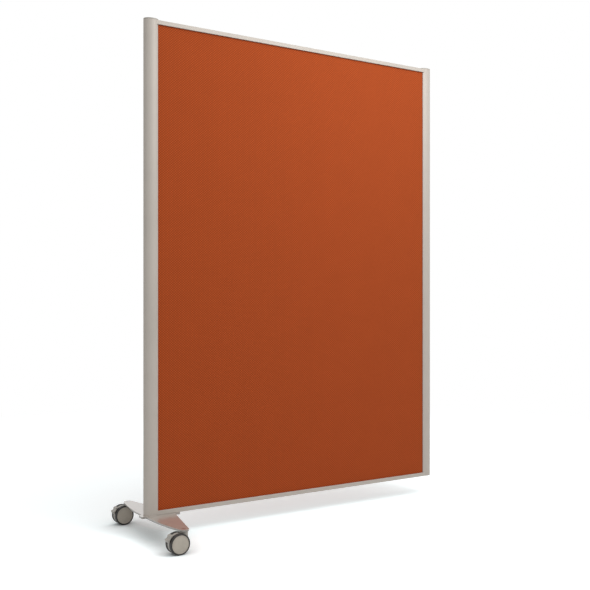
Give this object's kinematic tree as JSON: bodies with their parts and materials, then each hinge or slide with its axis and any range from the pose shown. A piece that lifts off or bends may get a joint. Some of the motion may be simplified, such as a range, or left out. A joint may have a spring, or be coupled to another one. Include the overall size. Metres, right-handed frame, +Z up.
{
  "type": "rolling partition",
  "caption": "Upright fabric-covered panel in a slim aluminium frame with oval posts, carried at one end by a flat steel foot on braked twin-wheel swivel casters.",
  "frame": {"origin": "on the floor, under the middle of the whole object's box", "axes": "+X along the panel, away from the foot; -Y towards the face seen in the picture; +Z up"},
  "size_m": [1.2402, 0.468, 1.676],
  "materials": {
    "frame_aluminium": "satin",
    "cap_plastic": "satin",
    "foot_steel": "satin",
    "plain_steel": "satin",
    "panel_fabric": "matte",
    "hardboard": "matte",
    "softwood": "matte",
    "honeycomb_card": "matte",
    "caster_nylon": "satin",
    "wheel_nylon": "satin",
    "tyre_rubber": "matte"
  },
  "bodies": {
    "panel": {"left_post": "frame_aluminium", "right_post": "frame_aluminium", "top_rail": "frame_aluminium", "bottom_rail": "frame_aluminium", "left_post_cap": "cap_plastic", "right_post_cap": "cap_plastic", "bottom_left_key": "plain_steel", "bottom_right_key": "plain_steel", "top_left_key": "plain_steel", "top_right_key": "plain_steel", "key_screws": "plain_steel", "core_battens": "softwood", "core_infill": "honeycomb_card", "front_board": "hardboard", "back_board": "hardboard", "front_fabric": "panel_fabric", "back_fabric": "panel_fabric", "foot_plate": "foot_steel", "foot_bolts": "plain_steel", "front_stem": "plain_steel", "front_stem_ring": "plain_steel", "back_stem": "plain_steel", "back_stem_ring": "plain_steel"},
    "front_caster": {"front_caster_body": "caster_nylon", "front_axle": "plain_steel", "front_axle_clips": "plain_steel", "front_pedal_pin": "plain_steel"},
    "front_pedal": {"front_brake_pedal": "caster_nylon"},
    "front_outer_wheel": {"front_outer_tyre": "tyre_rubber", "front_outer_hub": "wheel_nylon", "front_outer_cover": "wheel_nylon"},
    "front_inner_wheel": {"front_inner_tyre": "tyre_rubber", "front_inner_hub": "wheel_nylon", "front_inner_cover": "wheel_nylon"},
    "back_caster": {"back_caster_body": "caster_nylon", "back_axle": "plain_steel", "back_axle_clips": "plain_steel", "back_pedal_pin": "plain_steel"},
    "back_pedal": {"back_brake_pedal": "caster_nylon"},
    "back_outer_wheel": {"back_outer_tyre": "tyre_rubber", "back_outer_hub": "wheel_nylon", "back_outer_cover": "wheel_nylon"},
    "back_inner_wheel": {"back_inner_tyre": "tyre_rubber", "back_inner_hub": "wheel_nylon", "back_inner_cover": "wheel_nylon"}
  },
  "joints": [
    {"name": "front_swivel", "type": "hinge", "parent": "panel", "child": "front_caster", "pos_m": [-0.56191, -0.214, 0.05], "axis": [0, 0, 1], "continuous": true},
    {"name": "front_outer_roll", "type": "hinge", "parent": "front_caster", "child": "front_outer_wheel", "pos_m": [-0.58191, -0.214, 0.0325], "axis": [0, 1, 0], "continuous": true},
    {"name": "front_inner_roll", "type": "hinge", "parent": "front_caster", "child": "front_inner_wheel", "pos_m": [-0.58191, -0.214, 0.0325], "axis": [0, 1, 0], "continuous": true},
    {"name": "front_brake", "type": "hinge", "parent": "front_caster", "child": "front_pedal", "pos_m": [-0.60269, -0.214, 0.0445], "axis": [0, -1, 0], "range_deg": [0, 12]},
    {"name": "back_swivel", "type": "hinge", "parent": "panel", "child": "back_caster", "pos_m": [-0.56191, 0.214, 0.05], "axis": [0, 0, 1], "continuous": true},
    {"name": "back_outer_roll", "type": "hinge", "parent": "back_caster", "child": "back_outer_wheel", "pos_m": [-0.58191, 0.214, 0.0325], "axis": [0, 1, 0], "continuous": true},
    {"name": "back_inner_roll", "type": "hinge", "parent": "back_caster", "child": "back_inner_wheel", "pos_m": [-0.58191, 0.214, 0.0325], "axis": [0, 1, 0], "continuous": true},
    {"name": "back_brake", "type": "hinge", "parent": "back_caster", "child": "back_pedal", "pos_m": [-0.60269, 0.214, 0.0445], "axis": [0, -1, 0], "range_deg": [0, 12]}
  ]
}
